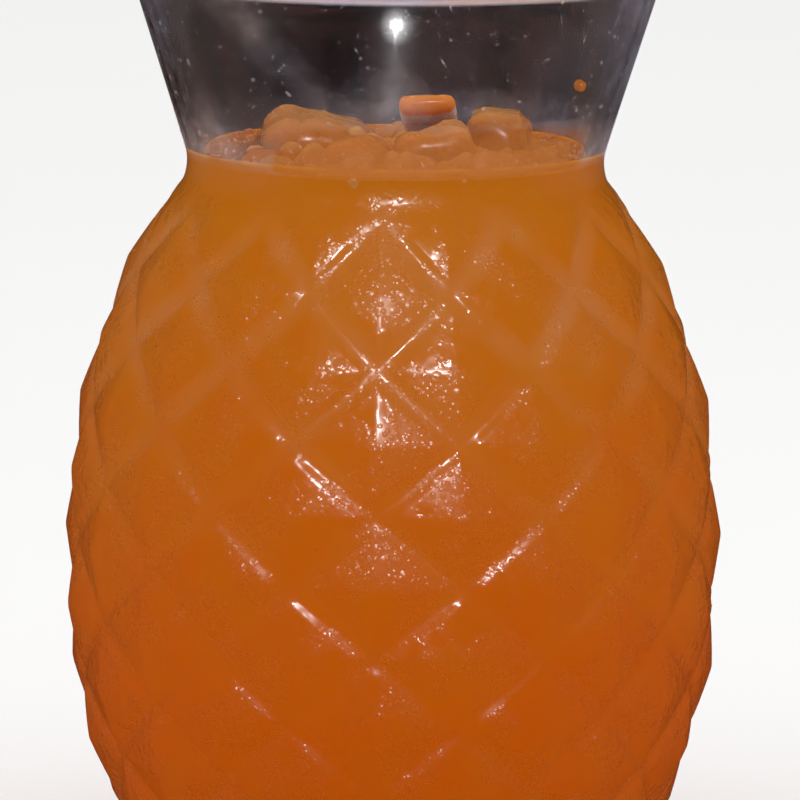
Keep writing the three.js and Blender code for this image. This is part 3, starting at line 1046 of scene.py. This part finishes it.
def start_ice(name, clearness=0.3, scattering=0.85):
    """Half-clear, milky ice, worn smooth by melting, to be coloured."""
    material, tree, shader = start_material(name, {
        "IOR": 1.31,
        "Metallic": 0,
        "Transmission Weight": clearness,
        "Subsurface Weight": scattering,
        "Subsurface Radius": (1.0, 0.6, 0.3),
        "Subsurface Scale": 0.005,
    })
    place = object_place(tree)
    frosted = add_noise(tree, place, 260, 3)
    tree.links.new(add_range(tree, frosted, 0.35, 0.65, 0.16, 0.40), shader.inputs["Roughness"])
    add_bump(tree, shader, frosted, 0.12, 0.0006)
    return material, tree, shader, place


def ice_colour(tree, settings, place):
    """The drink's colour in the ice, with clouds of frozen air."""
    deep = tuple(channel * 0.86 for channel in settings.colour)
    pale = tuple(min(1.0, channel * 1.12 + 0.06) for channel in settings.colour)
    return add_mix(tree, add_cloud(tree, place, 130), deep, pale)


def add_frost_and_highlight(tree, shader, settings, place, low, high):
    """Colours the ice, paler towards its top: partly drier frost, partly a painted highlight."""
    _, _, height = add_axes(tree, place)
    frost_and_highlight = add_range(tree, height, low, high, 0, 0.34)
    soaked = ice_colour(tree, settings, place)
    tree.links.new(add_mix(tree, frost_and_highlight, soaked, settings.frost_and_highlight_colour[:]), shader.inputs["Base Color"])


def ice_material(settings):
    material, tree, shader, place = start_ice("Ice soaked in the drink")
    add_frost_and_highlight(tree, shader, settings, place, *FROST_AND_HIGHLIGHT_ON_LUMPS)
    return material


def crumb_material(settings):
    material, tree, shader, place = start_ice("Crushed ice", clearness=0.2, scattering=0)
    add_frost_and_highlight(tree, shader, settings, place, *FROST_AND_HIGHLIGHT_ON_CRUMBS)
    return material


def sliver_material(settings):
    """Ice with drink on its top and its near end, and a clear underside painted a paler grey than its
    shade, as painted light.
    """
    material, tree, shader, place = start_ice("Thin clear ice", clearness=0.08)
    size, centre, turn, _ = ICE_SLIVER
    turned = turn_matrix(turn)
    offset = add_vector_math(tree, "SUBTRACT", place, [value * MM for value in centre])
    near_end = -size[1] / 2
    wet = []
    for axis, dry_from, wet_from in (((0, 1, 0), near_end + 2.4, near_end + 1.6), ((0, 0, 1), 0.1, 0.7)):
        along = add_vector_math(tree, "DOT_PRODUCT", offset, turned @ Vector(axis))
        wet.append(add_range(tree, along, dry_from * MM, wet_from * MM, 0, 1))
    # Painted light: the underside faces down into shade, and its grey is made paler to stand in for the
    # light it lacks.
    clear = add_mix(tree, add_cloud(tree, place, 160), (0.46, 0.41, 0.43), (0.66, 0.61, 0.64))
    colour = add_mix(
        tree, add_math(tree, "MAXIMUM", *wet), clear, ice_colour(tree, settings, place))
    tree.links.new(colour, shader.inputs["Base Color"])
    return material


def bubble_material(drink):
    """Pale foam at the drink's edge, and the drink's own colour in the splash above it."""
    material, tree, shader = start_material("Fizz bubble", {
        "Roughness": 0.08,
        "IOR": 1.33,
        "Metallic": 0,
        "Transmission Weight": 0.2,
    })
    place = object_place(tree)
    _, _, height = add_axes(tree, place)
    pale = tuple(min(1.0, channel * 1.5 + 0.25) for channel in drink.pale_colour)
    foam = add_mix(tree, add_noise(tree, place, 500), drink.pale_colour[:], pale)
    splashed = add_range(tree, height, *FOAM_TO_SPLASH, 0, 1)
    tree.links.new(add_mix(tree, splashed, foam, drink.pale_colour[:]), shader.inputs["Base Color"])
    return material


# Stage

def floor_material():
    material, tree, shader = start_material("Pale floor", {"Roughness": 0.8})
    uneven = add_noise(tree, object_place(tree), 3)
    pale = add_mix(tree, uneven, (0.90, 0.897, 0.893), (0.92, 0.917, 0.913))
    tree.links.new(pale, shader.inputs["Base Color"])
    return material


def add_floor(name, faces_kept, side, near_side):
    """A flat square floor with a smaller square in its middle, of which only one of the two is kept."""
    bm = bmesh.new()
    bmesh.ops.create_grid(bm, x_segments=1, y_segments=1, size=side / 2)
    near = bm.faces[:]
    bmesh.ops.inset_individual(bm, faces=near, thickness=(side - near_side) / 2, use_even_offset=True)
    surround = [face for face in bm.faces if face not in near]
    bmesh.ops.delete(bm, geom=surround if faces_kept == "near" else near, context="FACES")
    floor = make_object(bm, name, [floor_material()])
    floor.visible_glossy = False
    return floor


def make_world():
    """Soft pale light all round, which the glass doesn't show, so that it stays dark as in a dim room."""
    world = bpy.data.worlds.new("Soft studio")
    world.use_nodes = True
    tree = world.node_tree
    tree.nodes.clear()
    output = tree.nodes.new("ShaderNodeOutputWorld")
    pale = tree.nodes.new("ShaderNodeBackground")
    pale.inputs["Color"].default_value = (0.95, 0.95, 0.95, 1)
    pale.inputs["Strength"].default_value = 1.1
    tree.links.new(pale.outputs["Background"], output.inputs["Surface"])
    world.cycles_visibility.glossy = False
    world.cycles_visibility.transmission = False
    bpy.context.scene.world = world


def room_material():
    """Dark shapes that glow faintly, paler to both sides."""
    material, tree, shader = start_material("Dim room", {
        "Base Color": (0, 0, 0, 1),
        "Specular IOR Level": 0,
        "Emission Strength": 1.0,
    })
    material.cycles.emission_sampling = "NONE"
    place = object_place(tree)
    across, _, _ = add_axes(tree, place)
    uneven = add_range(tree, add_noise(tree, place, 9, 2), 0.40, 0.62, 0, 1)
    shapes = add_mix(tree, uneven, (0.006, 0.0035, 0.003), (0.036, 0.016, 0.013))
    off_middle = add_math(tree, "ABSOLUTE", across, 0)
    sides = add_range(tree, off_middle, ROOM_RADIUS * 0.45, ROOM_RADIUS * 0.9, 0, 1)
    glow = add_mix(tree, sides, shapes, (0.065, 0.050, 0.044))
    tree.links.new(glow, shader.inputs["Emission Color"])
    return material


def add_room():
    """The dim room, which only the glass and other shiny or clear surfaces show."""
    bm = bmesh.new()
    bmesh.ops.create_uvsphere(bm, u_segments=48, v_segments=24, radius=ROOM_RADIUS)
    room = make_object(bm, "dim_room", [room_material()])
    room.visible_camera = False
    room.visible_diffuse = False
    room.visible_shadow = False


def add_light(name, place, power, side, shape="SQUARE", glossy=True):
    """A square or round light aimed at the middle of the glass."""
    light = bpy.data.lights.new(name, "AREA")
    light.energy = power
    light.shape = shape
    light.size = side
    lamp = bpy.data.objects.new(name, light)
    bpy.context.scene.collection.objects.link(lamp)
    lamp.visible_glossy = lamp.visible_transmission = glossy
    lamp.location = place
    lamp.rotation_euler = (Vector(GLASS_MIDDLE) - Vector(place)).to_track_quat("-Z", "Y").to_euler()
    return lamp


def build_stage(settings):
    add_floor("studio_floor", "near", settings.floor_side, NEAR_FLOOR_SIDE)
    surround = add_floor("studio_surround", "surround", settings.floor_side, NEAR_FLOOR_SIDE)
    surround.visible_transmission = False
    make_world()
    add_room()
    flash = add_light("flash", FLASH_PLACE, settings.flash_power, FLASH_SIZE, "DISK")
    flash.visible_diffuse = False
    for name, place in (("soft_left", (-0.9, -0.7, 1.0)), ("soft_right", (0.9, -0.6, 1.0))):
        add_light(name, place, settings.soft_power, SOFT_LIGHT_SIDE, glossy=False)


def place_camera(settings):
    """Sets the camera where the photo was taken from, rolled as it was."""
    data = bpy.data.cameras.new("camera")
    data.lens = settings.lens
    data.sensor_width = 36
    data.clip_start = 0.01
    data.clip_end = 50
    camera = bpy.data.objects.new("camera", data)
    bpy.context.scene.collection.objects.link(camera)
    place = Vector(CAMERA_PLACE)
    forward = (Vector(CAMERA_TARGET) - place).normalized()
    right = forward.cross(Vector((0, 0, 1))).normalized()
    up = right.cross(forward)
    across = right * math.cos(CAMERA_ROLL) + up * math.sin(CAMERA_ROLL)
    upward = up * math.cos(CAMERA_ROLL) - right * math.sin(CAMERA_ROLL)
    turn = Matrix((across, upward, -forward)).transposed()
    camera.matrix_world = Matrix.Translation(place) @ turn.to_4x4()
    bpy.context.scene.camera = camera


# Operators, one for each piece or group of like pieces

class FIZZ_OT_glass(bpy.types.Operator):
    """Model the pressed glass tumbler"""
    bl_idname = "fizz.glass"
    bl_label = "Tumbler"

    def execute(self, context):
        build_glass(context.scene.fizz_glass)
        return {"FINISHED"}


class FIZZ_OT_drink(bpy.types.Operator):
    """Model the cloudy drink up to its level"""
    bl_idname = "fizz.drink"
    bl_label = "Drink"

    def execute(self, context):
        build_drink(context.scene.fizz_drink, context.scene.fizz_glass)
        return {"FINISHED"}


class FIZZ_OT_ice(bpy.types.Operator):
    """Model the lumps of ice, the thin sliver and the crumbs"""
    bl_idname = "fizz.ice"
    bl_label = "Ice"

    def execute(self, context):
        build_ice(context.scene.fizz_ice)
        build_sliver(context.scene.fizz_ice)
        build_crumbs(context.scene.fizz_ice, context.scene.fizz_glass)
        return {"FINISHED"}


class FIZZ_OT_bubbles(bpy.types.Operator):
    """Model the bubbles at the drink's edge and the splash above it"""
    bl_idname = "fizz.bubbles"
    bl_label = "Bubbles"

    def execute(self, context):
        scene = context.scene
        build_bubbles(scene.fizz_drops, scene.fizz_drink, scene.fizz_glass)
        return {"FINISHED"}


class FIZZ_OT_drops(bpy.types.Operator):
    """Model the mist and the drops of condensation on the outside of the tumbler"""
    bl_idname = "fizz.drops"
    bl_label = "Mist and drops"

    def execute(self, context):
        build_mist()
        build_relief_mist(context.scene.fizz_glass)
        build_drops(context.scene.fizz_drops)
        return {"FINISHED"}


class FIZZ_OT_stage(bpy.types.Operator):
    """Set out the floor, the lights and the camera"""
    bl_idname = "fizz.stage"
    bl_label = "Stage"

    def execute(self, context):
        build_stage(context.scene.fizz_stage)
        place_camera(context.scene.fizz_stage)
        return {"FINISHED"}


OPERATORS = (
    FIZZ_OT_glass, FIZZ_OT_drink, FIZZ_OT_ice, FIZZ_OT_bubbles, FIZZ_OT_drops, FIZZ_OT_stage)
SETTINGS = {
    "fizz_glass": GlassSettings,
    "fizz_drink": DrinkSettings,
    "fizz_ice": IceSettings,
    "fizz_drops": DropSettings,
    "fizz_stage": StageSettings,
}


class FIZZ_PT_panel(bpy.types.Panel):
    """Settings and steps of the passion fruit fizz"""
    bl_idname = "FIZZ_PT_panel"
    bl_label = "Passion Fruit Fizz"
    bl_space_type = "VIEW_3D"
    bl_region_type = "UI"
    bl_category = "Fizz"

    def draw(self, context):
        for name, group in SETTINGS.items():
            box = self.layout.box()
            for setting in group.__annotations__:
                box.prop(getattr(context.scene, name), setting)
        for operator in OPERATORS:
            self.layout.operator(operator.bl_idname)


def register():
    for group in SETTINGS.values():
        bpy.utils.register_class(group)
    for name, group in SETTINGS.items():
        setattr(bpy.types.Scene, name, PointerProperty(type=group))
    for operator in OPERATORS:
        bpy.utils.register_class(operator)
    bpy.utils.register_class(FIZZ_PT_panel)


def unregister():
    bpy.utils.unregister_class(FIZZ_PT_panel)
    for operator in reversed(OPERATORS):
        bpy.utils.unregister_class(operator)
    for name in SETTINGS:
        delattr(bpy.types.Scene, name)
    for group in SETTINGS.values():
        bpy.utils.unregister_class(group)


def main():
    register()
    bpy.context.scene.view_settings.view_transform = "Standard"
    bpy.ops.fizz.glass()
    bpy.ops.fizz.drink()
    bpy.ops.fizz.ice()
    bpy.ops.fizz.bubbles()
    bpy.ops.fizz.drops()
    bpy.ops.fizz.stage()


if __name__ == "__main__":
    main()
